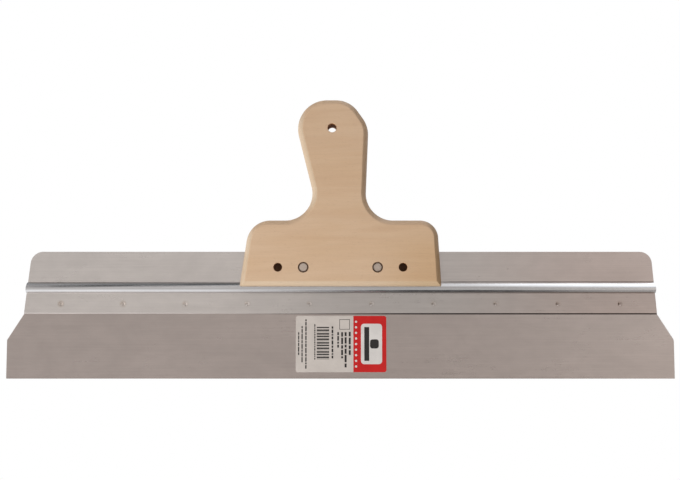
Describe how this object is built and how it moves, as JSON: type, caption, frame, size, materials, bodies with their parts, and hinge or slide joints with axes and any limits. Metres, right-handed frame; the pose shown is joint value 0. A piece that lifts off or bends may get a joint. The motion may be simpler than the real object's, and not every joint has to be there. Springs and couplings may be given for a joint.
{
  "type": "drywall taping knife",
  "caption": "Wide steel taping knife: thin blade spot-welded to a beaded stiffening spine, with a rounded wooden board handle riveted over it and a hanging hole.",
  "frame": {"origin": "middle of the working edge, in the middle plane of the handle and of the spine's sheet", "axes": "+X along the blade to the user's right, +Z from the working edge up to the handle's head, the front with bead and label faces -Y"},
  "size_m": [0.6, 0.022, 0.252],
  "materials": {
    "blade_steel": "satin cold-rolled stainless sheet",
    "spine_steel": "satin cold-rolled stainless sheet",
    "wood": "sanded pale hardwood, thin matt lacquer",
    "rivet": "dull, hammered flat",
    "label": "printed sticker, semi-gloss"
  },
  "bodies": {
    "root": {"blade": "blade_steel", "spine": "spine_steel", "handle": "wood", "rivet_left": "rivet", "rivet_right": "rivet", "label": "label"}
  },
  "joints": []
}
